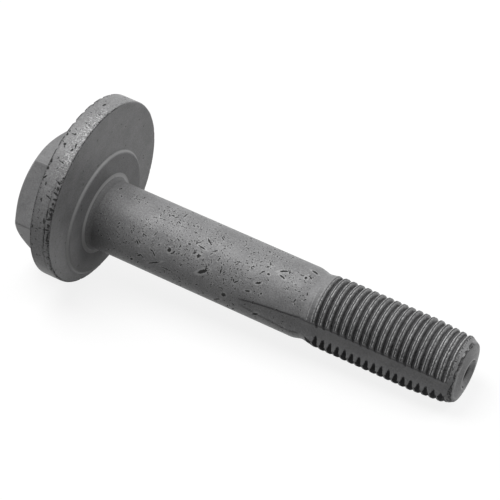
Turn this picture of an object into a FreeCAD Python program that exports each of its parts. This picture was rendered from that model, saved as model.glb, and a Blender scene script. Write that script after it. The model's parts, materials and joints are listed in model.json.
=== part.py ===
import FreeCAD, Part
import math
import os

Vector = FreeCAD.Vector

# Camber bolt, one forged piece. Sizes are in millimetres and angles in degrees.
# Along the bolt, heights run from the bearing face towards the thread's tip.
# Angles about the shank run from the cam's lobe, by the right-hand rule towards the tip.

# Shank and neck
shank_diameter = 13.9
shank_length = 44.1
shank_fillet = 1.2
neck_diameter = 13.0
neck_taper_length = 1.8
neck_length = 0.4

# Thread, single start and right-hand
thread_diameter = 14.0
thread_pitch = 1.5
thread_depth = 0.92
thread_flank_angle = 30.0
thread_rise_length = 2.8
thread_setback = 2.66
thread_length = 26.04
runout_turns = 1.0
exit_turns = 0.5

# Tip
lead_diameter = 13.1
lead_taper_length = 6.9
chamfer_gap = 0.1
chamfer_length = 1.5
end_face_diameter = 11.4
crown_height = 0.7
cup_diameter = 5.4
cup_depth = 1.1

# Cam flange, a round disc set off the shank's axis
cam_diameter = 36.8
cam_offset = 5.0
cam_thickness = 4.2
cam_edge_bevel = 0.3
pad_diameter = 25.4
pad_height = 0.54
pad_bevel = 0.4

# Setting marks, cut across the head-side edge of the cam
mark_count = 7
mark_spacing = 9.5
mark_width = 0.9
mark_depth = 0.45
mark_length = 2.6

# Hexagon head
head_across_flats = 22.0
head_height = 8.7
head_corner_angle = 24.0
head_corner_round = 0.4
head_chamfer_angle = 30.0
head_chamfer_diameter = 20.8

# Keyway groove, a round-bottomed channel nearly square to the lobe
groove_angle = 86.5
groove_radius = 5.5
groove_floor = 5.78
groove_in_shank = 11.7
groove_ramp_length = 19.3

# How far cutting tools stand clear of the metal
tool_clearance = 5.0
section_overlap = 0.15

shank_radius = shank_diameter / 2
neck_radius = neck_diameter / 2
thread_radius = thread_diameter / 2
root_radius = thread_radius - thread_depth
lead_radius = lead_diameter / 2
cam_radius = cam_diameter / 2
neck_start = shank_length + neck_taper_length
neck_end = neck_start + neck_length
rod_joint = neck_start + neck_length / 3
first_root = neck_end + thread_setback
last_root = first_root + thread_length
chamfer_start = last_root + chamfer_gap
chamfer_end = chamfer_start + chamfer_length
tip = chamfer_end + crown_height
groove_start = shank_length - groove_in_shank
groove_bend = groove_start + groove_ramp_length
cam_front = -pad_height
cam_middle = cam_front - cam_thickness / 2
cam_back = cam_front - cam_thickness
head_end = cam_back - head_height
along = Vector(0, 0, 1)
origin = Vector(0, 0, 0)


def polar(radius, angle, height):
    turn = math.radians(angle)
    return Vector(radius * math.cos(turn), radius * math.sin(turn), height)


def revolved(points, bends=()):
    """A solid of revolution about the shank's axis, from a closed outline of radius and height.

    The outline rounds off each corner whose number is in bends, between the points on either side of it.
    """
    poles = [Vector(radius, 0, height) for radius, height in points]
    edges = []
    for number, pole in enumerate(poles):
        following = (number + 1) % len(poles)
        if number in bends:
            curve = Part.BezierCurve()
            curve.setPoles([poles[number - 1], pole, poles[following]])
            edges.append(curve.toShape())
        elif following not in bends:
            edges.append(Part.makeLine(pole, poles[following]))
    return Part.Face(Part.Wire(edges)).revolve(origin, along, 360)


def shank_blank():
    """The shank, its neck and the blank that carries the thread, with a cupped tip."""
    fillet_corner = 3
    body = revolved([
        (0, cam_front),
        (shank_radius + shank_fillet, cam_front),
        (shank_radius + shank_fillet, 0),
        (shank_radius, 0),
        (shank_radius, shank_fillet),
        (shank_radius, shank_length),
        (neck_radius, neck_start),
        (neck_radius, neck_end),
        (thread_radius, neck_end + thread_rise_length),
        (thread_radius, chamfer_start - lead_taper_length),
        (lead_radius, chamfer_start),
        (end_face_diameter / 2, chamfer_end),
        (cup_diameter / 2, tip),
        (0, tip),
    ], bends=(fillet_corner,))
    cup = Part.makeCone(0, cup_diameter / 2, cup_depth, Vector(0, 0, tip - cup_depth), along)
    return body.cut(cup)


def setting_mark(number):
    """A V-shaped cut that runs out through the cam's rim, one of a row centred on the lobe."""
    start = cam_radius - mark_length
    bottom = cam_back + mark_depth
    mouth = cam_back - mark_depth
    corners = [Vector(start, 0, bottom), Vector(start, mark_width, mouth), Vector(start, -mark_width, mouth)]
    section = Part.Face(Part.makePolygon(corners + corners[:1]))
    mark = section.extrude(Vector(mark_length + tool_clearance, 0, 0))
    mark.rotate(origin, along, mark_spacing * (number - (mark_count - 1) / 2))
    mark.translate(Vector(cam_offset, 0, 0))
    return mark


def cam_flange():
    """The off-centre disc with its edges taken off, and the raised bearing pad round the shank."""
    disc = revolved([
        (0, cam_back),
        (cam_radius - cam_edge_bevel, cam_back),
        (cam_radius, cam_back + cam_edge_bevel),
        (cam_radius, cam_front - cam_edge_bevel),
        (cam_radius - cam_edge_bevel, cam_front),
        (0, cam_front),
    ])
    disc.translate(Vector(cam_offset, 0, 0))
    disc = disc.cut([setting_mark(number) for number in range(mark_count)])
    pad_radius = pad_diameter / 2
    pad = revolved([
        (0, cam_middle),
        (pad_radius, cam_middle),
        (pad_radius, cam_front),
        (pad_radius - pad_bevel, 0),
        (0, 0),
    ])
    return disc.fuse(pad)


def hexagon_head():
    """The hexagon behind the flange, its outer end turned down to a cone."""
    height = cam_middle - head_end
    corner_radius = head_across_flats / math.sqrt(3)
    corners = [polar(corner_radius, head_corner_angle + 60 * side, head_end) for side in range(7)]
    prism = Part.Face(Part.makePolygon(corners)).extrude(along * height)
    uprights = [edge for edge in prism.Edges if abs(edge.tangentAt(edge.FirstParameter).z) > 0.5]
    prism = prism.makeFillet(head_corner_round, uprights)
    end_radius = head_chamfer_diameter / 2
    cone_rise = height / math.tan(math.radians(head_chamfer_angle))
    cone = Part.makeCone(end_radius, end_radius + cone_rise, height, Vector(0, 0, head_end), along)
    return prism.common(cone)


def thread_section(angle, height):
    """The V that cuts the thread, in the plane through the axis at the given angle."""
    reach = thread_depth + section_overlap
    half_mouth = reach * math.tan(math.radians(thread_flank_angle))
    corners = [
        polar(root_radius, angle, height),
        polar(root_radius + reach, angle, height - half_mouth),
        polar(root_radius + reach, angle, height + half_mouth),
    ]
    return Part.makePolygon(corners + corners[:1])


def swept_cutter(path, angle, height):
    """The thread's V carried along a helix, its axis side always facing the shank's axis."""
    sweep = Part.BRepOffsetAPI.MakePipeShell(Part.Wire(path.Edges))
    sweep.setBiNormalMode(along)
    sweep.add(thread_section(angle, height), False, False)
    sweep.build()
    sweep.makeSolid()
    cutter = sweep.shape()
    if cutter.Volume < 0:
        cutter.reverse()
    return cutter


def fading_path(turns, angle, height, towards_tip):
    """A helix that climbs out of the metal on a cone, going on from the thread's root."""
    length = turns * thread_pitch
    cone_angle = math.degrees(math.atan2(thread_depth + section_overlap, length))
    path = Part.makeHelix(thread_pitch, length, root_radius, cone_angle, False, True)
    if not towards_tip:
        path.rotate(origin, Vector(1, 0, 0), 180)
    path.rotate(origin, along, angle)
    path.translate(Vector(0, 0, height))
    return path


def thread_cutters():
    """The helical V, with a fading turn at the neck and a shorter one at the tip."""
    last_angle = 360 * (thread_length / thread_pitch % 1)
    path = Part.makeHelix(thread_pitch, thread_length, root_radius)
    path.translate(Vector(0, 0, first_root))
    start = fading_path(runout_turns, 0, first_root, False)
    finish = fading_path(exit_turns, last_angle, last_root, True)
    return [
        swept_cutter(path, 0, first_root),
        swept_cutter(start, 0, first_root),
        swept_cutter(finish, last_angle, last_root),
    ]


def keyway_cutter():
    """The channel at full depth, its ramp up to the shank's surface, and a ball where they meet."""
    slope = math.atan2(shank_radius - groove_floor, groove_ramp_length)
    bend = polar(groove_floor + groove_radius, groove_angle, groove_bend)
    uphill = polar(math.sin(slope), groove_angle, -math.cos(slope))
    straight = Part.makeCylinder(groove_radius, tip - groove_bend + tool_clearance, bend, along)
    ramp = Part.makeCylinder(groove_radius, groove_bend, bend, uphill)
    ball = Part.makeSphere(groove_radius, bend)
    return straight.fuse([ramp, ball])


def threaded_rod(blank, keyway):
    """The bolt beyond the joint. The thread is cut in a plain rod, which then takes the blank's form."""
    length = tip + tool_clearance - rod_joint
    rod = Part.makeCylinder(thread_radius, length, Vector(0, 0, rod_joint), along)
    for cutter in thread_cutters():
        rod = rod.cut(cutter)
    return rod.common(blank).cut(keyway)


def bolt():
    blank = shank_blank()
    keyway = keyway_cutter()
    below = Part.makeCylinder(cam_radius, rod_joint - cam_back, Vector(0, 0, cam_back), along)
    shank = blank.common(below).cut(keyway)
    whole = threaded_rod(blank, keyway).fuse([shank, cam_flange(), hexagon_head()])
    return whole.removeSplitter().Solids[0]


def lying_down(shape):
    """The bolt at rest, lobe up. Its tip dips until the thread and the rim both touch the ground."""
    rim_below_axis = cam_radius - cam_offset
    run = chamfer_start - cam_front + cam_edge_bevel
    tilt = math.degrees(math.atan2(rim_below_axis - lead_radius, run))
    shape.rotate(origin, along, 180)
    shape.rotate(origin, Vector(0, 1, 0), 90 + tilt)
    return shape


os.makedirs("parts", exist_ok=True)
lying_down(bolt()).exportStep("parts/camber_bolt.step")
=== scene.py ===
import json
import math
import bpy
import numpy as np
from mathutils import Matrix, Vector


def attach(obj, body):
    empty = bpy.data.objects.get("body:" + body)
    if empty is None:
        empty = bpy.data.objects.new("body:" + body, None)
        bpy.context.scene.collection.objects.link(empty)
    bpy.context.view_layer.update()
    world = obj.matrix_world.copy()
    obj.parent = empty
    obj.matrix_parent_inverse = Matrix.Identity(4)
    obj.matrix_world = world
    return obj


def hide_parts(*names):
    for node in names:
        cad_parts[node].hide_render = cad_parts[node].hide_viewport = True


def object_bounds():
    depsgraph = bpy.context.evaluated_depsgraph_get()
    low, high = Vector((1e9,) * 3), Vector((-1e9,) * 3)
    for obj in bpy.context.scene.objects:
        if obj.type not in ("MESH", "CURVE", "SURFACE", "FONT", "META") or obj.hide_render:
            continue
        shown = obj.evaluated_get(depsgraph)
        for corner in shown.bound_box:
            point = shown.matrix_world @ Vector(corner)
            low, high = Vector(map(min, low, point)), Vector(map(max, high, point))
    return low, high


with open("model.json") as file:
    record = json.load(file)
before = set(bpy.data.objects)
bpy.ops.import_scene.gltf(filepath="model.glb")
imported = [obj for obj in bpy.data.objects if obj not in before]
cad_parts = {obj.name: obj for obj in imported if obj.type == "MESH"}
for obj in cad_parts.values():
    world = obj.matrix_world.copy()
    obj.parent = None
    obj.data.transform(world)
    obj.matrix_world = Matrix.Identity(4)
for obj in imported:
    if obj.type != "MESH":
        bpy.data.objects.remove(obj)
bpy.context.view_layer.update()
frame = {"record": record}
print("frame loaded")

# The bolt is worked out in millimetres on its own axes: x towards the cam's lobe, z along the shank
# from the bearing face to the tip, y square to both on the keyway's side. Angles start at the lobe.
mm = 0.001
mounts = {mount["name"]: mount for mount in frame["record"]["mounts"]}
tipWay = Vector(mounts["shank"]["axis"]).normalized()
keySideWay = Vector((0, -1, 0))
lobeWay = keySideWay.cross(tipWay)
boltAxes = Matrix((lobeWay, keySideWay, tipWay)).transposed()

shank = dict(
    radius=mounts["shank"]["dims"]["r_mm"],
    length=44.1,
    fillet=1.2,
    neckRadius=6.5,
    neckTaper=1.8,
    neckLength=0.4,
    softening=0.3,        # the turned corners are eased over this length to both sides
    softenedTo=60,        # and from this height on over the tip's own
    levelRows=[(2, 30, 14), (31, 43, 13), (43.6, 45.8, 7)],  # first height, last height, rows
)
thread = dict(
    radius=7.0,
    pitch=1.5,
    depth=0.92,
    mouthHalfWidth=0.46,  # the roots are rounded, and open out as a power of the distance from them
    rootPower=3.2,
    rootPhase=0.957,      # height of a root at the lobe, less whole pitches
    firstRoot=48.96,
    lastRoot=75.0,
    riseLength=2.8,
    runOut=1.5,
    exitLength=0.75,
    climb=1.07,           # how far a root climbs as it fades
    seamHalfWidth=0.12,   # the rolled crest is split lengthwise by a seam between two lips
    seamDepth=0.14,
    seamEvenness=(0.8, 0.25),  # its depth's steady part and its uneven part
    seamFrom=0.5,         # it sets in at this share of the run-out, and deepens at this rate
    seamGain=3,
    cutOver=0.25,         # the thread counts as cut after this share of the run-out
    crestReach=0.3,       # the crest is rounded off towards its lips: by crestDrop at this distance
    crestDrop=0.14,
    crestLimit=0.4,
    creaseSoftening=0.03,
    unevenness=0.02,
    scribeHeight=0.045,   # two faint ridges where the rolling starts
    scribeWidth=0.09,
    scribeOffset=0.13,
    scribeStart=47.3,
    scribeEnd=48.5,
    rowPhases=[-0.75, -0.60, -0.47, -0.38, -0.28, -0.18, -0.07, 0.07, 0.18, 0.28, 0.38, 0.50],
    firstTurn=30,         # rows follow the helix from this turn on, at those distances from the crest
    turnCount=19,
    entryRows=3,
    exitRows=10,
)
tip = dict(
    leadRadius=6.55,
    leadLength=6.9,
    chamferStart=75.1,
    chamferEnd=76.6,
    chamferRows=5,        # the shaft's last rows, which wear as the tip does
    softening=0.05,
    endRadius=5.7,
    top=77.3,
    beyond=(1, 1.3),      # the turned outline runs on past the top and inwards, for the averaging alone
    cupRadius=2.7,
    cupDepth=1.1,
    cupBottomRadius=0.3,
    cupSag=0.1,
    rimOut=0.25,          # the cup's rim is rounded, from this far outside it
    rimOutDrop=0.05,
    rimIn=0.2,            # to this far inside
    rimInDrop=0.12,
)
cam = dict(
    radius=mounts["cam_rim"]["dims"]["r_mm"],
    offset=5.0,
    thickness=4.2,
    edge=0.3,
    wornDepth=0.05,
    padRadius=12.7,
    padHeight=0.54,
    padBevel=0.4,
    footOut=0.15,         # the pad's foot is eased, from this far outside it
    footIn=0.1,
    footRise=0.13,
    padEdgeOut=0.12,      # and so is its upper edge
    padEdgeDrop=0.16,
    padEdgeIn=0.2,
    markCount=7,
    markSpacing=9.5,
    markHalfWidth=0.45,
    markDepth=0.45,
    markLength=2.6,
    markEntry=0.2,
)
head = dict(
    flatRadius=11.0,
    height=8.7,
    cornerAngle=24.0,
    cornerRound=0.4,
    edge=0.15,
    endRadius=10.4,
    chamferSlope=math.tan(math.radians(30)),
    foot=0.4,
)
keyway = dict(
    angle=86.5,
    radius=5.5,
    floor=5.78,
    start=32.4,
    bend=51.7,
    clearAngle=12.4,      # within this angle of its middle, the floor lies below the thread
    edgeSoftening=0.05,
    missed=99.0,          # the channel's radius on a ray that misses it
)
# Columns stand closer together at the hexagon's corners, the setting marks and the keyway's walls.
# Each crowd has its reach in degrees and its extra share.
columns = dict(
    count=268,
    cornerCrowd=(1.6, 3.0),
    markCrowd=(1.1, 3.0),
    wallCrowd=(6.0, 0.8),
    wallAngle=20,
)
columnCount = columns["count"]
levelCount = sum(count for _, _, count in shank["levelRows"])
camFront = -cam["padHeight"]
camBack = camFront - cam["thickness"]
headEnd = camBack - head["height"]
regionNames = ["plain", "rim", "face", "shank", "thread", "tip"]
looseTurn = 6.3           # a full turn, near enough for random phases and angles


def crowdedAngles(count, spots):
    # Angles all the way round, at equal steps of a running sum of density: 1, plus a bump at each spot.
    stepsPerDegree = 40
    fine = np.linspace(0, 360, stepsPerDegree * 360 + 1)
    density = np.ones_like(fine)
    for angle, (reach, strength) in spots:
        away = np.abs((fine - angle + 180) % 360 - 180)
        density += strength * np.exp(-(away / reach) ** 4)
    total = np.cumsum(density) - density[0]
    return np.interp(np.arange(count) / count * total[-1], total, fine)


def ripple(turns, seed, waves, lowest, highest):
    # A seeded sum of sines of the angle, in whole waves a turn so that it closes, from about -1 to 1.
    dice = np.random.default_rng(seed)
    total = np.zeros_like(turns)
    for _ in range(waves):
        total += np.sin(turns * dice.integers(lowest, highest) + dice.uniform(0, 2 * math.pi))
    return total / math.sqrt(waves)


def grain(angle, height, seed, waves, size):
    # Seeded sines that run in all directions over the unrolled surface, of about the given size.
    girth = 44            # once round the thread
    dice = np.random.default_rng(seed)
    total = np.zeros(np.broadcast(angle, height).shape)
    for _ in range(waves):
        way = dice.uniform(0, 2 * math.pi)
        perTurn = round(math.cos(way) * girth / size)
        climbing = height * math.sin(way) * 2 * math.pi / size
        total = total + np.sin(angle * perTurn + climbing + dice.uniform(0, looseTurn))
    return total / math.sqrt(waves)


markAngles = cam["markSpacing"] * (np.arange(cam["markCount"]) - (cam["markCount"] - 1) / 2)
markSpots = np.degrees(np.arctan2(
    cam["radius"] * np.sin(np.radians(markAngles)),
    cam["offset"] + cam["radius"] * np.cos(np.radians(markAngles)),
))
spots = [(head["cornerAngle"] + 60 * corner, columns["cornerCrowd"]) for corner in range(6)]
spots += [(angle, columns["markCrowd"]) for angle in markSpots]
spots += [(keyway["angle"] + side * columns["wallAngle"], columns["wallCrowd"]) for side in (-1, 1)]
degreesRound = crowdedAngles(columnCount, spots)
angles = np.radians(degreesRound)


def ring(radius, height):
    # One ring of the surface: a radius and a height for each column.
    return np.stack([radius + 0 * angles, height + 0 * angles])


def straight(start, end, steps):
    # Rings on the straight way from one ring to another, at the given shares of it.
    shares = np.asarray(steps, float)[:, None, None]
    return start + (end - start) * shares


def bend(start, corner, end, count):
    # Rings on a curve that leaves start and reaches end, drawn towards the corner ring between them.
    t = np.linspace(0, 1, count)[:, None, None]
    return start * (1 - t) ** 2 + corner * 2 * t * (1 - t) + end * t ** 2


def discRadius(radius):
    # An off-centre circle seen from the shank's axis: offset along the ray, plus the rest of the chord.
    offset = cam["offset"]
    return offset * np.cos(angles) + np.sqrt(radius ** 2 - (offset * np.sin(angles)) ** 2)


def hexagonRadius(flat, rounding):
    # A hexagon with round corners: the flat's distance over the cosine, or the corner arc's far crossing.
    halfSide = math.pi / 6
    fromCorner = (angles - math.radians(head["cornerAngle"]) + halfSide) % (math.pi / 3) - halfSide
    toCorner = np.abs(fromCorner)
    side = flat / np.cos(halfSide - toCorner)
    centre = (flat - rounding) / math.cos(halfSide)
    chord = np.sqrt(np.maximum(rounding ** 2 - (centre * np.sin(toCorner)) ** 2, 0))
    arc = centre * np.cos(toCorner) + chord
    onArc = centre * np.sin(toCorner) < rounding * math.sin(halfSide)
    return np.where(onArc, arc, side)


def markCut(radius):
    # How deep the nearest setting mark is under a ring: a V across each mark's line, from its start outwards.
    x = radius * np.cos(angles) - cam["offset"]
    y = radius * np.sin(angles)
    turn = np.radians(markAngles)[:, None]
    across = np.abs(y * np.cos(turn) - x * np.sin(turn)).min(axis=0)
    started = np.clip((np.hypot(x, y) - cam["radius"] + cam["markLength"]) / cam["markEntry"], 0, 1)
    return cam["markDepth"] * np.clip(1 - across / cam["markHalfWidth"], 0, 1) * started * (x > 0)


def headBands():
    # From the hexagon's end face, over its turned cone and down its sides, to its foot on the cam.
    side = hexagonRadius(head["flatRadius"], head["cornerRound"])
    coneEnd = headEnd + (side - head["endRadius"]) * head["chamferSlope"]
    edge = head["edge"]
    faceEdge = ring(head["endRadius"] - edge, headEnd)
    faceCorner = ring(head["endRadius"], headEnd)
    faceOut = ring(head["endRadius"] + edge, headEnd + edge * head["chamferSlope"])
    coneIn = ring(side - edge, coneEnd - edge * head["chamferSlope"])
    coneCorner = ring(side, coneEnd)
    coneOut = ring(side, coneEnd + edge)
    footTop = ring(side, camBack - head["foot"])
    footCorner = ring(side, camBack)
    footOut = ring(side + head["foot"], camBack)
    return [
        straight(ring(0, headEnd), faceEdge, [0.4, 0.8, 0.97]),
        bend(faceEdge, faceCorner, faceOut, count=4),
        straight(faceOut, coneIn, [0.33, 0.66]),
        bend(coneIn, coneCorner, coneOut, count=4),
        straight(coneOut, footTop, [0.1, 0.4, 0.7, 0.95]),
        bend(footTop, footCorner, footOut, count=5),
    ]


def camBands():
    # The cam's back face with its marks, its rim and front face, and the raised pad up to the fillet.
    rim = discRadius(cam["radius"])
    inner = discRadius(cam["radius"] - cam["edge"])
    worn = cam["wornDepth"] * ripple(angles, seed=3, waves=9, lowest=3, highest=30)
    worn = worn + cam["wornDepth"] * ripple(angles, seed=4, waves=14, lowest=30, highest=110)
    foot = hexagonRadius(head["flatRadius"], head["cornerRound"]) + head["foot"]
    backShares = [0.04, 0.2, 0.4, 0.6, 0.7, 0.74, 0.78, 0.85, 0.93, 0.97]
    backFace = straight(ring(foot, camBack), ring(inner, camBack), backShares)
    backFace[:, 1] += np.array([markCut(radius) for radius in backFace[:, 0]])
    cut = markCut(rim)
    backEdge = bend(
        ring(inner, camBack + cut),
        ring(rim, camBack + cut),
        ring(rim, camBack + np.maximum(cut, cam["edge"])),
        count=5,
    )
    frontEdge = bend(
        ring(rim, camFront - cam["edge"] - np.abs(worn)),
        ring(rim - np.abs(worn) / 2, camFront),
        ring(inner - np.abs(worn), camFront),
        count=5,
    )
    side = straight(backEdge[-1], frontEdge[0], [0.1, 0.3, 0.5, 0.7, 0.9])
    padTop = cam["padRadius"] - cam["padBevel"]
    padFoot = bend(
        ring(cam["padRadius"] + cam["footOut"], camFront),
        ring(cam["padRadius"], camFront),
        ring(cam["padRadius"] - cam["footIn"], camFront + cam["footRise"]),
        count=4,
    )
    padEdge = bend(
        ring(padTop + cam["padEdgeOut"], -cam["padEdgeDrop"]),
        ring(padTop, 0),
        ring(padTop - cam["padEdgeIn"], 0),
        count=4,
    )
    frontFace = straight(frontEdge[-1], padFoot[0], [0.04, 0.25, 0.5, 0.75, 0.96])
    filletOut = ring(shank["radius"] + shank["fillet"], 0)
    padFace = straight(padEdge[-1], filletOut, [0.05, 0.35, 0.65, 0.95])
    fillet = bend(filletOut, ring(shank["radius"], 0), ring(shank["radius"], shank["fillet"]), count=8)
    return [backFace, backEdge, side, frontEdge, frontFace, padFoot, padEdge, padFace, fillet]


def turnedRadius(height):
    # The turned outline under thread and keyway, softened by averaging it over a short length.
    neckStart = shank["length"] + shank["neckTaper"]
    neckEnd = neckStart + shank["neckLength"]
    onwards, inwards = tip["beyond"]
    outline = [
        (0, shank["radius"]),
        (shank["length"], shank["radius"]),
        (neckStart, shank["neckRadius"]),
        (neckEnd, shank["neckRadius"]),
        (neckEnd + thread["riseLength"], thread["radius"]),
        (tip["chamferStart"] - tip["leadLength"], thread["radius"]),
        (tip["chamferStart"], tip["leadRadius"]),
        (tip["chamferEnd"], tip["endRadius"]),
        (tip["top"] + onwards, tip["endRadius"] - inwards),
    ]
    heights, radii = zip(*outline)
    nearHead = (height < shank["softenedTo"])[..., None]
    shifts = np.linspace(-1, 1, num=7) * np.where(nearHead, shank["softening"], tip["softening"])
    return np.interp(height[..., None] + shifts, heights, radii).mean(axis=-1)


def threadPlace(height):
    # For each point, the distance along the bolt to its nearest root, and that root's height.
    turns = (height - thread["rootPhase"]) / thread["pitch"] - degreesRound / 360
    away = (turns - np.round(turns)) * thread["pitch"]
    return away, height - away


def keywayRadius(height):
    # The channel from the axis: a ray's near crossing with a circle whose centre stands off the axis.
    floor = np.interp(height, [keyway["start"], keyway["bend"]], [shank["radius"], keyway["floor"]])
    rise = (shank["radius"] - keyway["floor"]) / (keyway["bend"] - keyway["start"])
    floor = np.where(height < keyway["start"], shank["radius"] + (keyway["start"] - height) * rise, floor)
    centre = floor + keyway["radius"]
    turn = angles - math.radians(keyway["angle"])
    reach = keyway["radius"] ** 2 - (centre * np.sin(turn)) ** 2
    channel = centre * np.cos(turn) - np.sqrt(np.maximum(reach, 0))
    return np.where((reach > 0) & (np.cos(turn) > 0), channel, keyway["missed"])


def softLesser(first, second, softening):
    # The lesser of two radii, with the crease between them eased.
    mixed = np.clip(0.5 + (second - first) / (2 * softening), 0, 1)
    return second * (1 - mixed) + first * mixed - softening * mixed * (1 - mixed)


def shaftRadius(height):
    # Radius at each point of the shaft, the least of crest, flank and keyway, and how far the thread is cut.
    turned = turnedRadius(height)
    away, root = threadPlace(height)
    entering = np.clip((root - thread["firstRoot"] + thread["runOut"]) / thread["runOut"], 0, 1)
    leaving = np.clip((root - thread["lastRoot"]) / thread["exitLength"], 0, 1)
    rootRadius = thread["radius"] - thread["depth"] + thread["climb"] * np.maximum(1 - entering, leaving)
    rootRadius = rootRadius + thread["unevenness"] * grain(angles, height, seed=11, waves=12, size=1.3)
    flank = rootRadius + thread["depth"] * (np.abs(away) / thread["mouthHalfWidth"]) ** thread["rootPower"]
    uneven = grain(angles, height, seed=12, waves=16, size=2.2)
    fromCrest = away - np.sign(away) * thread["pitch"] / 2 + thread["unevenness"] * uneven
    whole = np.clip((entering - thread["seamFrom"]) * thread["seamGain"], 0, 1) * (1 - leaving)
    seam = np.exp(-(fromCrest / thread["seamHalfWidth"]) ** 2)
    steadyPart, unevenPart = thread["seamEvenness"]
    crest = turned - thread["seamDepth"] * seam * whole * (steadyPart + unevenPart * uneven)
    fromTop = np.minimum(np.abs(fromCrest), thread["crestLimit"]) / thread["crestReach"]
    crest = crest - thread["crestDrop"] * fromTop ** 2 * whole
    ridges = [away / thread["scribeWidth"], (fromCrest + thread["scribeOffset"]) / thread["scribeWidth"]]
    scribed = sum(np.exp(-ridge ** 2) for ridge in ridges)
    rolling = (height > thread["scribeStart"]) * (height < thread["scribeEnd"])
    crest = crest + thread["scribeHeight"] * scribed * rolling
    radius = softLesser(flank, crest, thread["creaseSoftening"])
    channel = keywayRadius(height)
    threaded = np.clip(entering / thread["cutOver"], 0, 1) * (1 - leaving) * (channel > radius)
    return softLesser(radius, channel, keyway["edgeSoftening"]), threaded


def helixLift():
    # How far a row that follows the thread has risen at each column. It slips back across the keyway's floor.
    low = keyway["angle"] + keyway["clearAngle"]
    high = keyway["angle"] - keyway["clearAngle"] + 360
    beyond = low + 360
    turned = (degreesRound - low) % 360 + low
    return np.interp(turned, [low, high, beyond], [low, high, low]) / 360 * thread["pitch"]


def shaftHeights():
    # Row heights from the fillet to the chamfer's end: level rows, then rows on the thread's own helix.
    level = np.concatenate([np.linspace(*rows) for rows in shank["levelRows"]])[:, None] + 0 * angles
    crestPhase = thread["rootPhase"] + thread["pitch"] / 2
    turns = (thread["firstTurn"] + np.arange(thread["turnCount"]))[:, None]
    wound = (crestPhase + thread["pitch"] * turns + np.array(thread["rowPhases"])).ravel()
    wound = wound[:, None] + helixLift()
    share = (np.arange(1, thread["entryRows"] + 1) / (thread["entryRows"] + 1))[:, None]
    entry = level[-1] + (wound[0] - level[-1]) * share
    share = (np.arange(1, thread["exitRows"] + 1) / thread["exitRows"])[:, None]
    leave = wound[-1] + (tip["chamferEnd"] - wound[-1]) * share
    return np.vstack([level, entry, wound, leave])


def tipBands():
    # The low dome of the end face, its cup's rim, and the cup.
    rimOut = ring(tip["cupRadius"] + tip["rimOut"], tip["top"] - tip["rimOutDrop"])
    rimTop = ring(tip["cupRadius"], tip["top"])
    rimIn = ring(tip["cupRadius"] - tip["rimIn"], tip["top"] - tip["rimInDrop"])
    bottom = ring(tip["cupBottomRadius"], tip["top"] - tip["cupDepth"])
    start = ring(tip["endRadius"], tip["chamferEnd"])
    return [
        straight(start, rimOut, [0.03, 0.08, 0.25, 0.45, 0.65, 0.85]),
        bend(rimOut, rimTop, rimIn, count=4),
        bend(rimIn, (rimIn + bottom) / 2 - [[0], [tip["cupSag"]]], bottom, count=6)[1:],
    ]


def buildBolt():
    # One closed skin: rows run from the head's pole to the tip's pole, columns run round the shank.
    heights = shaftHeights()
    radii, threaded = shaftRadius(heights)
    shaft = np.stack([radii, heights], axis=1)
    backFace, backEdge, side, frontEdge, *front = camBands()
    chamferRows = tip["chamferRows"]
    parts = [
        ("plain", np.concatenate(headBands() + [backFace])),
        ("rim", np.concatenate([backEdge, side, frontEdge])),
        ("face", np.concatenate(front)),
        ("shank", shaft[:levelCount]),
        ("thread", shaft[levelCount:-chamferRows]),
        ("tip", np.concatenate([shaft[-chamferRows:], *tipBands()])),
    ]
    rows = np.concatenate([part for _, part in parts])
    regions = np.concatenate([np.full(len(part), regionNames.index(name)) for name, part in parts])
    radius, height = rows[:, 0], rows[:, 1]
    points = np.stack([radius * np.cos(angles), radius * np.sin(angles), height], axis=-1).reshape(-1, 3)
    poles = np.array([[0, 0, height[0].mean()], [0, 0, height[-1].mean()]])
    points = np.concatenate([points, poles])
    rowCount = len(rows)
    here = np.arange(columnCount)
    nextOne = (here + 1) % columnCount
    base = (np.arange(rowCount - 1) * columnCount)[:, None]
    above = base + columnCount
    quads = np.stack([base + here, base + nextOne, above + nextOne, above + here], axis=-1)
    headPole, tipPole = rowCount * columnCount, rowCount * columnCount + 1
    last = (rowCount - 1) * columnCount
    headFan = np.stack([np.full(columnCount, headPole), nextOne, here], axis=-1)
    tipFan = np.stack([np.full(columnCount, tipPole), last + here, last + nextOne], axis=-1)
    faces = quads.reshape(-1, 4).tolist() + headFan.tolist() + tipFan.tolist()
    mesh = bpy.data.meshes.new("camberBolt")
    mesh.from_pydata((points @ np.array(boltAxes).T * mm).tolist(), [], faces)
    padded = np.zeros((rowCount, columnCount))
    firstShaft = int(np.argmax(regions == regionNames.index("shank")))
    padded[firstShaft:firstShaft + len(shaft)] = threaded
    layer = mesh.attributes.new("threaded", "FLOAT", "POINT")
    layer.data.foreach_set("value", np.append(padded.ravel(), [0, 0]).astype(np.float32))
    perFace = np.concatenate([
        np.repeat(regions[1:], columnCount),
        np.repeat(regions[[0, -1]], columnCount),
    ])
    mesh.polygons.foreach_set("material_index", perFace.astype(np.int32))
    mesh.polygons.foreach_set("use_smooth", np.ones(len(mesh.polygons), bool))
    mesh.update()
    bolt = bpy.data.objects.new("camberBolt", mesh)
    bpy.context.scene.collection.objects.link(bolt)
    print("bolt surface:", rowCount, "rows,", 2 * columnCount * rowCount, "triangles")
    return bolt


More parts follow.
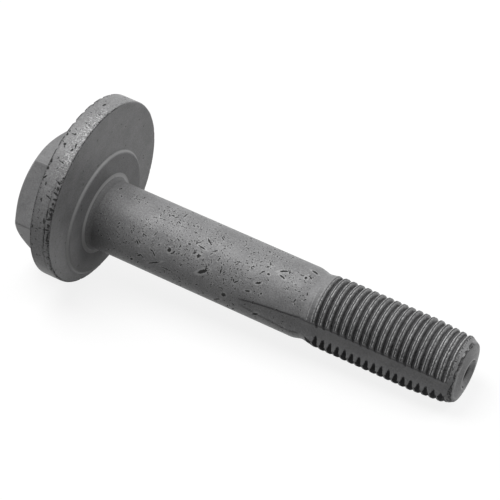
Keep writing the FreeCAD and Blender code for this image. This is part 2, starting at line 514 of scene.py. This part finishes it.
class Signal:
    # A shader socket that takes part in sums: each operator adds a Math node.
    def __init__(self, tree, socket=None):
        self.tree = tree
        self.socket = socket

    def node(self, kind, settings=None, values=None, out=0):
        # any node, from its type, its settings, and a value or a link for each input named
        made = self.tree.nodes.new("ShaderNode" + kind)
        for name, value in (settings or {}).items():
            setattr(made, name, value)
        for name, value in (values or {}).items():
            if isinstance(value, Signal):
                self.tree.links.new(value.socket, made.inputs[name])
            else:
                made.inputs[name].default_value = value
        return Signal(self.tree, made.outputs[out] if made.outputs else None)

    def maths(self, operation, first, second=0.0):
        return self.node("Math", {"operation": operation}, {0: first, 1: second})

    def __add__(self, other):
        return self.maths("ADD", self, other)

    def __radd__(self, other):
        return self.maths("ADD", other, self)

    def __sub__(self, other):
        return self.maths("SUBTRACT", self, other)

    def __rsub__(self, other):
        return self.maths("SUBTRACT", other, self)

    def __mul__(self, other):
        return self.maths("MULTIPLY", self, other)

    def __rmul__(self, other):
        return self.maths("MULTIPLY", other, self)

    def __truediv__(self, other):
        return self.maths("DIVIDE", self, other)

    def __pow__(self, other):
        return self.maths("POWER", self, other)

    def lesser(self, other):
        return self.maths("MINIMUM", self, other)

    def greater(self, other):
        return self.maths("MAXIMUM", self, other)

    def rising(self, low, high):
        # 0 below low, 1 above high, and a smooth climb between them
        values = {"Value": self, "From Min": low, "From Max": high}
        return self.node("MapRange", {"interpolation_type": "SMOOTHSTEP"}, values)

    def falling(self, low, high):
        # 1 below low, 0 above high
        values = {"Value": self, "From Min": low, "From Max": high, "To Min": 1.0, "To Max": 0.0}
        return self.node("MapRange", {"interpolation_type": "SMOOTHSTEP"}, values)

    def within(self, low, lowFull, highFull, high):
        # 1 between the inner pair, 0 beyond the outer pair
        return self.rising(low, lowFull) * self.falling(highFull, high)

    def hill(self, width):
        # 1 at zero, and a bell's fall to both sides
        scaled = self / width
        return self.maths("EXPONENT", scaled * scaled * -1)

    def noise(self, scale, detail, roughness, out=0):
        # a noise texture read at this place
        values = {"Vector": self, "Scale": scale, "Detail": detail, "Roughness": roughness}
        return self.node("TexNoise", {}, values, out)


def freshTree(holder):
    # The emptied node tree of a material or of the world.
    holder.use_nodes = True
    holder.node_tree.nodes.clear()
    return holder.node_tree


def colourBetween(start, factor, first, second):
    # A colour mixed from two, which may be plain colours or links.
    def whole(colour):
        return colour if isinstance(colour, Signal) else (*colour, 1)
    return start.node("Mix", {"data_type": "RGBA"}, {0: factor, 6: whole(first), 7: whole(second)}, out=2)


# Noises are given by scale, detail and roughness, and edges by where a change starts and ends.
coat = dict(
    dark=(0.125, 0.125, 0.127),
    pale=(0.215, 0.215, 0.217),
    # worn: worn metal, and painted highlights
    worn=(0.42, 0.42, 0.42),
    # shaded: painted shade
    shaded=(0.016, 0.016, 0.017),
    pit=(0.008, 0.008, 0.008),
    roughness=0.44,
    speckleRoughness=0.3,
    pitRoughness=0.3,
    shadedRoughness=0.5,
    gloss=0.3,
    mottle=(0.3, 3.0, 0.55),
    mottleShare=1.2,
    speckle=(3.2, 4.0, 0.75),
    speckleShare=dict(plain=2.2, rim=4.2, face=2.8, shank=4.0, thread=3.2, tip=4.0),
    balance=0.45,
    speckleRelief=0.05,
    mottleRelief=0.04,
    ragged=(2.6, 3.0, 0.8),
    raggedReach=0.5,      # how far the outlines of nicks and strokes are pushed about
    strokeSize=0.85,      # the single marks are drawn a little over their size
    pitEdge=(0.75, 1.15),
)


class Skin:
    # The bolt's own coordinates in its shader, in millimetres, and the noises that every region shares.
    def __init__(self, tree):
        start = self.start = Signal(tree)
        here = start.node("TexCoord", {}, {}, "Object")
        turn = tuple(boltAxes.inverted().to_euler("XYZ"))
        self.place = start.node("Mapping", {}, {"Vector": here, "Rotation": turn, "Scale": (1 / mm,) * 3})
        self.x, self.y, self.z = [start.node("SeparateXYZ", {}, {0: self.place}, way) for way in range(3)]
        self.reach = (self.x * self.x + self.y * self.y) ** 0.5
        self.angle = start.maths("ARCTAN2", self.y, self.x)
        camX = self.x - cam["offset"]
        self.rimReach = (camX * camX + self.y * self.y) ** 0.5
        self.rimAngle = start.maths("ARCTAN2", self.y, camX)
        self.mottle = self.place.noise(*coat["mottle"])
        self.speckle = self.place.noise(*coat["speckle"])

    def flat(self, around, radius):
        # The surface unrolled: distance round it and height, with a ragged offset, in millimetres.
        plane = self.start.node("CombineXYZ", {}, {0: around * radius, 1: self.z})
        ragged = self.place.noise(*coat["ragged"], "Color")
        reach = (coat["raggedReach"], coat["raggedReach"], 0)
        return self.start.node("VectorMath", {"operation": "MULTIPLY_ADD"}, {0: ragged, 1: reach, 2: plane})

    def single(self, plane, radius, marks):
        # How near each point is to its nearest mark: 1 on the mark's outline, less inside.
        middle = coat["raggedReach"] / 2
        nearest = None
        for height, degrees, length, width, turn in marks:
            place = self.start.node("Mapping", {"vector_type": "TEXTURE"}, {
                "Vector": plane,
                "Location": (math.radians(degrees) * radius + middle, height + middle, 0),
                "Rotation": (0, 0, math.radians(turn)),
                "Scale": (length / 2, width / 2, 1),
            })
            away = self.start.node("VectorMath", {"operation": "LENGTH"}, {0: place}, "Value")
            nearest = nearest.lesser(away) if nearest else away
        return nearest * coat["strokeSize"]

    def scattered(self, plane, share, cell, length, width):
        # Strokes turned at random, at most one in each cell of a flat pattern. The share says how many cells
        # hold one, and in the rest the distance is pushed out of sight.
        softness, pushedAway = 0.02, 9
        sizeSpread, leastSize = 0.8, 0.4
        plane = self.start.node("VectorMath", {"operation": "SCALE"}, {0: plane, "Scale": 1 / cell})
        settings = {"voronoi_dimensions": "2D"}
        spot = self.start.node("TexVoronoi", settings, {"Vector": plane, "Scale": 1.0}, "Position")
        luck = self.start.node("TexVoronoi", settings, {"Vector": plane, "Scale": 1.0}, "Color")
        turn, rarity, size = [self.start.node("SeparateColor", {}, {0: luck}, part) for part in range(3)]
        away = self.start.node("VectorMath", {"operation": "SUBTRACT"}, {0: plane, 1: spot})
        turned = {"Vector": away, "Angle": turn * looseTurn}
        away = self.start.node("VectorRotate", {"rotation_type": "Z_AXIS"}, turned)
        stretch = (2 * cell / length, 2 * cell / width, 0)
        away = self.start.node("VectorMath", {"operation": "MULTIPLY"}, {0: away, 1: stretch})
        away = self.start.node("VectorMath", {"operation": "LENGTH"}, {0: away}, "Value")
        absent = rarity.rising(share - softness, share + softness) * pushedAway
        return away / (size * sizeSpread + leastSize) + absent


# Each region's wear and painted light give how much of the pale colour (worn metal and painted highlights),
# the shaded colour (painted shade) and the near-black pits it shows. Angles in it are radians from the lobe,
# about the shank or, on the rim, about the cam's own centre.
# Single marks: height, angle in degrees, length, width, and turn from the way round the surface.

shankLook = dict(
    marks=[
        (2.75, -8.2, 0.75, 0.27, 155), (4.0, 5.4, 0.5, 0.22, 61), (15.0, -0.6, 0.55, 0.35, 90),
        (16.85, -11.8, 0.95, 0.22, 19), (23.9, 15, 0.95, 0.28, 48), (23.35, 29.6, 1.5, 0.26, 83),
        (23.5, 43.8, 0.62, 0.58, 0), (17.7, 53.4, 0.75, 0.62, 0), (18.5, 55.8, 0.8, 0.27, 133),
        (25.25, 63.3, 1.9, 0.6, 126), (25.7, 56, 1.15, 0.22, 10), (14.3, 65.5, 0.75, 0.25, 61),
        (14.9, 69.6, 0.9, 0.25, 40), (15.2, 85, 2.5, 0.28, 122), (10.2, 99.5, 0.8, 0.5, 150),
        (11.9, 83.4, 0.9, 0.25, 135), (12.55, 83, 0.9, 0.25, 55), (11.1, 62.9, 1.0, 0.25, 38),
        (6.4, 46.7, 0.32, 0.3, 0), (12.05, 47.6, 0.9, 0.2, 80), (13.95, 38.9, 1.0, 0.22, 155),
        (30.3, 86.8, 0.9, 0.7, 140), (28.75, 105, 1.75, 0.35, 130), (17.5, 94, 0.7, 0.2, 176),
        (17.9, 86.8, 2.0, 0.22, 90), (11.55, 100.4, 0.95, 0.22, 161), (16.5, 101.3, 0.7, 0.2, 163),
        (44.45, -13.5, 1.1, 0.45, 90), (39.6, 11.3, 1.4, 0.35, 117), (39.85, 21, 1.15, 0.3, 73),
        (43.8, 6.5, 0.6, 0.5, 20), (37.3, 25.9, 0.5, 0.4, 60), (36.25, 44.6, 1.0, 0.4, 115),
        (31.65, 56.5, 0.8, 0.22, 43), (32.25, 56, 1.0, 0.22, 135), (34.85, 62.5, 0.95, 0.3, 104),
        (37.5, 57.7, 0.35, 0.35, 0), (37.0, 98.6, 1.15, 0.5, 119), (45.6, 39.1, 0.65, 0.2, 139),
        (36.85, 10, 0.9, 0.16, 90), (44.25, 51.5, 0.4, 0.2, 15), (32.1, 113.3, 0.85, 0.4, 133),
    ],
    crowdAngle=0.45,      # ticks crowd along this line, over this width
    crowdWidth=0.8,
    crowdShare=0.5,
    evenShare=0.16,
    ticksFrom=(1, 9),
    patches=(0.16, 2.0, 0.5),
    patchEdge=(0.36, 0.56),
    fine=dict(cell=0.6, length=0.5, width=0.17),
    fineShare=1.7,
    middling=dict(cell=1.3, length=0.85, width=0.25),
    middlingShare=1.05,
    haloEdge=(1.1, 2.2),  # each pit has a pale rim
    halo=0.38,
    # painted shade: dark lines along the keyway's two creases, where its walls turn away from the light
    creasesFrom=(32.8, 34.5),
    creaseRun=11.6,       # the keyway's two creases spread as the square root of the distance along it
    creaseSpread=0.3,
    upperCrease=dict(angle=1.53, width=0.035, depth=0.75),
    lowerCrease=dict(angle=1.5, width=0.03, depth=0.4),
    # painted shade: the shank darker beside the cam, on its lower side, where the cam shadows it
    shelterUpTo=(1, 8),
    shelterFrom=(0.6, 1.4),
    shelter=0.4,
)


def shankWearAndShade(skin):
    # Single nicks and crowds of fine ticks, and painted shade: dark lines along the keyway's creases, and
    # darkening beside the cam where it shadows the shank.
    look = shankLook
    plane = skin.flat(skin.angle, shank["radius"])
    strokes = skin.single(plane, shank["radius"], look["marks"])
    crowd = (skin.angle - look["crowdAngle"]).hill(look["crowdWidth"]) * look["crowdShare"]
    patches = skin.place.noise(*look["patches"]).rising(*look["patchEdge"])
    crowd = (crowd + look["evenShare"]) * skin.z.rising(*look["ticksFrom"]) * patches
    fine = skin.scattered(plane, crowd * look["fineShare"], **look["fine"])
    middling = skin.scattered(plane, crowd * look["middlingShare"], **look["middling"])
    nearest = strokes.lesser(middling).lesser(fine)
    pits = nearest.falling(*coat["pitEdge"])
    halo = nearest.falling(*look["haloEdge"]) - pits
    along = (skin.z - keyway["start"]).greater(0) / look["creaseRun"]
    spread = along ** 0.5 * look["creaseSpread"]
    upper, lower = look["upperCrease"], look["lowerCrease"]
    # painted shade in the keyway's creases
    keywayCreaseShade = (skin.angle + spread - upper["angle"]).hill(upper["width"]) * upper["depth"]
    keywayCreaseShade = keywayCreaseShade + (skin.angle - spread - lower["angle"]).hill(lower["width"]) * lower["depth"]
    keywayCreaseShade = keywayCreaseShade * skin.z.rising(*look["creasesFrom"])
    # painted shade beside the cam
    shelter = skin.z.falling(*look["shelterUpTo"]) * skin.angle.rising(*look["shelterFrom"]) * look["shelter"]
    return halo * look["halo"], shelter.greater(keywayCreaseShade), pits


rimLook = dict(
    marks=[
        (-2.7, -12.4, 1.0, 0.4, 0), (-2.9, 17, 0.4, 0.35, 0), (-3.6, 25, 0.45, 0.5, 0),
        (-1.5, 23.5, 1.0, 0.3, 5), (-1.7, 26.5, 0.45, 0.4, 0), (-2.4, 35.4, 1.1, 0.2, 80),
        (-4.35, 19, 0.6, 0.5, 0), (-4.4, 37, 0.6, 0.45, 0), (-4.4, 41.5, 0.5, 0.5, 0),
        (-2.2, 56.8, 1.4, 0.25, 68), (-1.95, 71.5, 1.1, 0.4, 10), (-4.3, 47, 1.1, 0.25, -35),
        (-3.6, 50, 0.6, 0.25, 15), (-3.5, 60, 0.7, 0.25, 10), (-1.6, 66, 1.6, 0.25, 3),
        (-1.55, 77.5, 1.6, 0.3, 3), (-1.6, 83.5, 1.8, 0.22, 0), (-1.2, 47, 0.9, 0.35, 65),
        (-0.95, 50, 0.6, 0.45, 20), (-1.05, 53.3, 1.0, 0.35, 75), (-0.85, 56.5, 0.8, 0.4, 100),
        (-1.0, 59.5, 0.5, 0.4, 0), (-1.0, 62.8, 1.0, 0.38, 80), (-0.9, 66, 0.7, 0.4, 45),
        (-1.05, 69.3, 1.1, 0.35, 110), (-0.95, 73, 0.6, 0.4, 60), (-1.1, 76.4, 0.9, 0.3, 95),
        (-0.9, 82, 1.4, 0.3, -8),
    ],
    ticks=dict(share=0.22, cell=0.8, length=0.6, width=0.2),
    keySide=(0.6, 0.95, 1.6, 2.2),
    litSide=(-0.25, 0.0, 0.5, 0.9),
    chipping=(1.3, 3.0, 0.7),
    chipsOver=0.46,       # the front line deepens where the noise passes this, most on the keyway's side
    keySideDepth=6.0,
    otherDepth=0.8,
    leastDepth=0.05,
    frontEdge=(-0.05, 0.06),
    frontFrom=(-0.5, -0.2),
    frontGaps=(0.46, 0.51),
    secondDrop=1.15,      # a second line wanders at this depth behind the front edge
    secondWander=1.2,
    secondWidth=0.13,
    secondGaps=(0.45, 0.52),
    # painted shade: the dark line along the back edge
    backOver=0.42,
    backDepth=2.4,
    backLeast=0.1,
    backEdge=(-0.05, 0.08),
    backShare=0.9,
    # bright flecks and specks: the coat's own speckle, with painted glints most on the lit side
    brightUpTo=(0.8, 3.2),
    flecks=(3.0, 3.0, 0.6),
    fleckEdge=(0.5, 0.62),
    fleckShare=(0.8, 0.15),
    speckEdge=(0.38, 0.44),
    speckShare=(0.6, 0.2),
)


def rimWearAndLight(skin):
    # Nicks, a ragged dark line along each edge, broader on the keyway's side, the back one painted shade, and
    # bright flecks on the other, with painted glints most on the lit side.
    look = rimLook
    plane = skin.flat(skin.rimAngle, cam["radius"])
    nearest = skin.single(plane, cam["radius"], look["marks"]).lesser(skin.scattered(plane, **look["ticks"]))
    keySide = skin.rimAngle.within(*look["keySide"])
    litSide = skin.rimAngle.within(*look["litSide"])
    frontDrop = camFront - skin.z
    backDrop = skin.z - camBack
    chipped = skin.place.noise(*look["chipping"])
    depth = (chipped - look["chipsOver"]).greater(0) * (keySide * look["keySideDepth"] + look["otherDepth"])
    frontLine = (depth + look["leastDepth"] - frontDrop).rising(*look["frontEdge"])
    frontLine = frontLine * skin.rimAngle.rising(*look["frontFrom"]) * skin.speckle.rising(*look["frontGaps"])
    second = frontDrop - look["secondDrop"] + (chipped - 0.5) * look["secondWander"]
    second = second.hill(look["secondWidth"]) * keySide * skin.speckle.rising(*look["secondGaps"])
    depth = (skin.speckle - look["backOver"]).greater(0) * look["backDepth"]
    backEdgeShade = (depth + look["backLeast"] - backDrop).rising(*look["backEdge"]) * look["backShare"]
    # the pits carry the back edge's painted shade too
    pits = nearest.falling(*coat["pitEdge"]).greater(frontLine).greater(backEdgeShade).greater(second)
    # painted glints: flecks and specks strongest on the lit side, near the front
    glintBand = frontDrop.falling(*look["brightUpTo"])
    onLitSide, elsewhere = look["fleckShare"]
    flecks = skin.place.noise(*look["flecks"]).rising(*look["fleckEdge"])
    flecks = flecks * glintBand * (litSide * onLitSide + elsewhere)
    onLitSide, elsewhere = look["speckShare"]
    specks = skin.speckle.falling(*look["speckEdge"]) * glintBand * (litSide * onLitSide + elsewhere)
    return flecks, specks, pits


faceLook = dict(
    edgeIn=0.18,          # the dark outer edge, from this far inside the rim
    edge=(-0.05, 0.12),
    edgeFrom=(-0.5, -0.2),
    edgeGaps=(0.3, 0.5),
    bevelIn=0.15,         # the painted highlight ring on the pad's bevel
    bevelWidth=0.18,
    bevelFrom=(-0.6, -0.5),
    bevelShare=0.65,
    # painted highlight: the bright ring in the shank's fillet
    fillet=(7.4, 7.6, 8.15, 8.35),
    filletShare=0.65,
    # painted shade: the shank's shadow on the cam's face, on the keyway side
    shelterUpTo=(8.2, 13.5),
    shelterFrom=(1.2, 2.1),
    shelter=0.4,
    padUpTo=(12.0, 12.6),
    padShade=0.2,
    pocks=dict(share=0.16, cell=1.6, length=0.5, width=0.3),
    pockEdge=(0.7, 1.2),
    pockShare=0.5,
)


def faceWearAndLight(skin):
    # The cam's front: a dark outer edge, painted highlights as two bright rings, on the pad's bevel and in
    # the shank's fillet, and painted shade where the shank shadows the face.
    look = faceLook
    edge = (cam["radius"] - look["edgeIn"] - skin.rimReach).falling(*look["edge"])
    edge = edge * skin.rimAngle.rising(*look["edgeFrom"]) * skin.speckle.rising(*look["edgeGaps"])
    # painted highlights on the bevel and in the fillet
    bevelHighlightRing = (skin.reach - cam["padRadius"] + look["bevelIn"]).hill(look["bevelWidth"])
    bevelHighlightRing = bevelHighlightRing * skin.z.rising(*look["bevelFrom"]) * look["bevelShare"]
    fillet = skin.reach.within(*look["fillet"]) * look["filletShare"]
    # painted shade where the shank shadows the face
    shelter = skin.reach.falling(*look["shelterUpTo"]) * skin.angle.rising(*look["shelterFrom"])
    shaded = (shelter * look["shelter"]).greater(skin.reach.falling(*look["padUpTo"]) * look["padShade"])
    pocks = skin.scattered(skin.place, **look["pocks"]).falling(*look["pockEdge"]) * look["pockShare"]
    return bevelHighlightRing + fillet, shaded, edge.greater(pocks)


threadLook = dict(
    breaking=(1.2, 3.0, 0.6),
    speckleWander=0.24,   # how far the lips wander, by each of two noises
    breakWander=0.3,
    keySideFrom=(0.1, 1.0),
    belowFrom=(1.6, 1.75),  # the teeth beyond the keyway
    # painted highlights on the crest's two lips, stronger or weaker round the bolt as the light falls
    headLip=dict(place=-0.25, width=0.09, share=1.2),
    headLipFull=1.4,
    headLipFading=0.7,
    tipLip=dict(place=0.23, width=0.08, share=0.9),
    tipLipFrom=(-0.6, 0.2),
    seamWidth=0.12,
    rootWidth=0.14,       # painted shade in the valleys, at their sides, and less in the root
    rootLight=0.25,
    valleyEdge=(0.34, 0.5),
    valleyShade=0.85,
    belowShift=0.3,
    belowShade=0.15,
    lipGaps=(0.42, 0.56),
    lipBreaks=(0.42, 0.54),
    breakShare=0.8,
    leastLip=0.4,
    # painted shade: a dark line on the keyway's upper wall
    wallAngle=1.22,
    wallWidth=0.045,
    wallUpTo=(74.5, 75.5),
    wallShade=0.6,
    lastTurnFrom=(74.95, 75.1),
    lastTurnUpTo=(1.0, 1.2),
    torn=(0.1, 0.2, 0.4, 0.6),
    tornPits=(0.44, 0.49),
    tornFlecks=(0.53, 0.58),
    fleckShare=0.3,
    lastEdge=dict(place=0.08, width=0.14, share=0.8),
    pitEdge=(0.38, 0.44),
    pitShare=(0.6, 0.3),
)


def threadWearAndLight(skin):
    # Rolled crests: a painted highlight on the lip on each side of a seam, and painted shade in the seam and
    # the valleys, all by the distance from the crest. The last turn is torn, and the keyway's upper wall has
    # a dark line of painted shade.
    look = threadLook
    threaded = skin.start.node("Attribute", {"attribute_name": "threaded"}, {}, "Fac")
    turns = (skin.z - thread["rootPhase"]) / thread["pitch"] - skin.angle / (2 * math.pi)
    broken = skin.place.noise(*look["breaking"])
    wander = (skin.speckle - 0.5) * look["speckleWander"] + (broken - 0.5) * look["breakWander"]
    fromCrest = (skin.start.maths("FRACT", turns) - 0.5) * thread["pitch"] + wander
    fromSeam = skin.start.maths("ABSOLUTE", fromCrest)
    keySide = skin.angle.rising(*look["keySideFrom"])
    below = skin.angle.rising(*look["belowFrom"])

    def line(settings):
        # a bell across the thread, at its own place beside the crest
        return (fromCrest - settings["place"]).hill(settings["width"]) * settings["share"]

    # painted highlights along the lips
    headLip = line(look["headLip"]) * (look["headLipFull"] - keySide * look["headLipFading"])
    tipLip = line(look["tipLip"]) * skin.angle.rising(*look["tipLipFrom"])
    unbroken = broken.rising(*look["lipBreaks"]) * look["breakShare"] + look["leastLip"]
    lipHighlights = (headLip + tipLip) * skin.speckle.rising(*look["lipGaps"]) * unbroken * (1 - below)
    # painted shade in the seam and the valleys, deeper on the teeth below the keyway
    seam = fromCrest.hill(look["seamWidth"]) * (1 - below)
    root = (fromSeam - thread["pitch"] / 2).hill(look["rootWidth"]) * (1 - below)
    valley = (fromSeam + below * look["belowShift"]).rising(*look["valleyEdge"])
    valley = valley * (below * look["belowShade"] + look["valleyShade"]) * (1 - root * look["rootLight"])
    # painted shade on the keyway's upper wall
    wall = (skin.angle - look["wallAngle"]).hill(look["wallWidth"]) * (1 - threaded)
    wall = wall * skin.z.falling(*look["wallUpTo"]) * look["wallShade"]
    shaded = (valley.greater(seam) * threaded).greater(wall)
    lastTurn = skin.z.rising(*look["lastTurnFrom"]) * skin.angle.falling(*look["lastTurnUpTo"])
    torn = fromCrest.within(*look["torn"]) * lastTurn
    onKeySide, everywhere = look["pitShare"]
    pits = skin.speckle.falling(*look["pitEdge"]) * threaded * (keySide * onKeySide + everywhere)
    pits = pits.greater(skin.speckle.falling(*look["tornPits"]) * torn)
    pits = pits.greater(line(look["lastEdge"]) * lastTurn)
    flecks = skin.speckle.rising(*look["tornFlecks"]) * torn * look["fleckShare"]
    return lipHighlights * threaded + flecks, shaded, pits


tipLook = dict(
    ragged=(0.9, 3.0, 0.7),
    raggedReach=1.6,
    burrOut=0.05,         # the burr's place, outside the end face's edge
    burrWidth=0.2,
    burrFrom=(-0.6, -0.3),
    burrGaps=(0.36, 0.46),
    chamferFrom=(5.8, 6.0),
    chamferUpTo=(0.4, 1.2),
    chamferShare=0.35,
    besideIn=0.7,         # a bright line inside the burr
    besideWidth=0.16,
    besideFrom=(0.2, 0.8),
    besideShare=0.5,
    nearSide=(-1.5, 1.0),
    rimOut=0.2,           # the cup's rim with a painted highlight, and painted shade in the crease inside it
    rimWidth=0.14,
    creaseIn=0.1,
    creaseWidth=0.16,
    cupDark=(0.9, 1.8),
)


def tipWearAndLight(skin):
    # The end: a ragged dark burr where the chamfer ends, with brighter bands on both sides of it, and the
    # cup's rim with a painted highlight on its near side, and its bed in painted shade.
    look = tipLook
    ragged = (skin.place.noise(*look["ragged"]) - 0.5) * look["raggedReach"]
    fromEdge = skin.reach - tip["endRadius"] + ragged
    burr = (fromEdge - look["burrOut"]).hill(look["burrWidth"]) * skin.angle.rising(*look["burrFrom"])
    chamfer = (skin.reach + ragged).rising(*look["chamferFrom"]) * skin.angle.falling(*look["chamferUpTo"])
    beside = (fromEdge + look["besideIn"]).hill(look["besideWidth"]) * skin.angle.rising(*look["besideFrom"])
    # on the near side: a painted highlight on the cup's rim and painted shade in its crease; painted shade in
    # the cup's bed all round
    nearSide = (skin.x + skin.y).rising(*look["nearSide"])
    rim = (skin.reach - tip["cupRadius"] - look["rimOut"]).hill(look["rimWidth"]) * nearSide
    cupCreaseShade = (skin.reach - tip["cupRadius"] + look["creaseIn"]).hill(look["creaseWidth"]) * nearSide
    shaded = cupCreaseShade.greater(skin.reach.falling(*look["cupDark"]))
    worn = rim + chamfer * look["chamferShare"] + beside * look["besideShare"]
    return worn, shaded, burr * skin.speckle.rising(*look["burrGaps"])


plainLook = dict(
    specks=(1.7, 2.0, 0.5),
    speckEdge=(0.26, 0.3),
    speckShare=0.8,
)


def plainWear(skin):
    # The head and the cam's back: only a few small dark specks.
    specks = skin.place.noise(*plainLook["specks"]).falling(*plainLook["speckEdge"])
    return 0.0, 0.0, specks * plainLook["speckShare"]


def coatMaterial(name, wearAndLight):
    # Matte zinc flake over forged steel: mottled and speckled, under the region's own wear, painted
    # highlights and painted shade.
    material = bpy.data.materials.new(name + "Coat")
    skin = Skin(freshTree(material))
    worn, shaded, pits = wearAndLight(skin)
    mottle = (skin.mottle - 0.5) * coat["mottleShare"]
    grey = mottle + (skin.speckle - 0.5) * coat["speckleShare"][name] + coat["balance"]
    shade = colourBetween(skin.start, grey, coat["dark"], coat["pale"])
    # painted shade
    shade = colourBetween(skin.start, shaded, shade, coat["shaded"])
    # worn metal and painted highlights
    shade = colourBetween(skin.start, worn, shade, coat["worn"])
    shade = colourBetween(skin.start, pits, shade, coat["pit"])
    roughness = (skin.speckle - 0.5) * coat["speckleRoughness"] + coat["roughness"]
    roughness = roughness + pits * coat["pitRoughness"] + shaded * coat["shadedRoughness"]
    relief = skin.speckle * coat["speckleRelief"] + skin.mottle * coat["mottleRelief"]
    bump = skin.start.node("Bump", {}, {"Height": relief, "Distance": mm, "Strength": 1.0})
    shader = skin.start.node("BsdfPrincipled", {}, {
        "Base Color": shade,
        "Roughness": roughness,
        "Specular IOR Level": coat["gloss"],
        "Normal": bump,
    })
    skin.start.node("OutputMaterial", {}, {"Surface": shader})
    return material


bolt = buildBolt()
wearsAndLight = dict(plain=plainWear, rim=rimWearAndLight, face=faceWearAndLight, shank=shankWearAndShade, thread=threadWearAndLight, tip=tipWearAndLight)
for name in regionNames:
    bolt.data.materials.append(coatMaterial(name, wearsAndLight[name]))
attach(bolt, "root")
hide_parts("camber_bolt")
print("bolt finished")

stage = dict(
    floorSize=3.0,
    floorShade=0.88,      # as the lamps light it, where the camera sees it
    bounceShade=0.2,      # as it throws light back on the bolt
    floorGlow=0.85,
    white=(1, 1, 1, 1),
    worldGlow=1.0,
    skyStrength=0.14,
)


def seenDirectly(start):
    # 1 for rays from the camera and for reflections, 0 for the light that surfaces scatter
    path = start.node("LightPath")
    rays = path.socket.node.outputs
    seen = path.greater(Signal(start.tree, rays["Is Glossy Ray"]))
    return seen.greater(Signal(start.tree, rays["Is Transmission Ray"]))


def floorMaterial():
    # White where it is seen, with part of the lit floor mixed in so that it keeps the shadow.
    material = bpy.data.materials.new("paleFloor")
    start = Signal(freshTree(material))
    lit = start.node("BsdfDiffuse", {}, {"Color": (*[stage["floorShade"]] * 3, 1)})
    bounce = start.node("BsdfDiffuse", {}, {"Color": (*[stage["bounceShade"]] * 3, 1)})
    glow = start.node("Emission", {}, {"Color": stage["white"], "Strength": 1.0})
    white = start.node("MixShader", {}, {0: stage["floorGlow"], 1: lit, 2: glow})
    mixed = start.node("MixShader", {}, {0: seenDirectly(start), 1: bounce, 2: white})
    start.node("OutputMaterial", {}, {"Surface": mixed})
    return material


def buildStage():
    # A plain floor under the bolt, and a world that is white where it is seen and soft where it lights.
    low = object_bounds()[0].z
    half = stage["floorSize"] / 2
    corners = [(-half, -half, low), (half, -half, low), (half, half, low), (-half, half, low)]
    mesh = bpy.data.meshes.new("floor")
    mesh.from_pydata(corners, [], [(0, 1, 2, 3)])
    floor = bpy.data.objects.new("floor", mesh)
    bpy.context.scene.collection.objects.link(floor)
    mesh.materials.append(floorMaterial())
    world = bpy.data.worlds.new("softStudio")
    start = Signal(freshTree(world))
    sky = start.node("Background", {}, {"Color": stage["white"], "Strength": stage["skyStrength"]})
    white = start.node("Background", {}, {"Color": stage["white"], "Strength": stage["worldGlow"]})
    mixed = start.node("MixShader", {}, {0: seenDirectly(start), 1: sky, 2: white})
    start.node("OutputWorld", {}, {"Surface": mixed})
    bpy.context.scene.world = world


lampAim = (0.03, 0.0, 0.0)
lamps = dict(
    highLamp=dict(place=(-0.10, 0.0, 0.483), size=0.34, power=3.05),
    sideLamp=dict(place=(0.335, 0.254, 0.305), size=0.34, power=1.2),
)


def addLamps():
    # Soft square lamps that face the shank's middle: one high over the bolt, and a weaker one beside its tip.
    for name, settings in lamps.items():
        lamp = bpy.data.lights.new(name, "AREA")
        lamp.size = settings["size"]
        lamp.energy = settings["power"]
        holder = bpy.data.objects.new(name, lamp)
        holder.location = settings["place"]
        towards = Vector(lampAim) - Vector(settings["place"])
        holder.rotation_euler = towards.to_track_quat("-Z", "Y").to_euler()
        bpy.context.scene.collection.objects.link(holder)


view = dict(
    lens=162.3,
    sensor=36.0,
    nearClip=0.01,
    place=(0.19774, -0.26027, 0.27929),
    turn=(48.219, 2.246, 30.472),
)


def addCamera():
    # The photograph's viewpoint, solved from the outlines of rim, pad and shank.
    data = bpy.data.cameras.new("photoCamera")
    data.lens = view["lens"]
    data.sensor_width = view["sensor"]
    data.clip_start = view["nearClip"]
    camera = bpy.data.objects.new("photoCamera", data)
    camera.location = view["place"]
    camera.rotation_euler = [math.radians(angle) for angle in view["turn"]]
    bpy.context.scene.collection.objects.link(camera)
    bpy.context.scene.camera = camera


buildStage()
addLamps()
addCamera()
bpy.context.scene.view_settings.view_transform = "Standard"
print("stage, lamps and camera set")
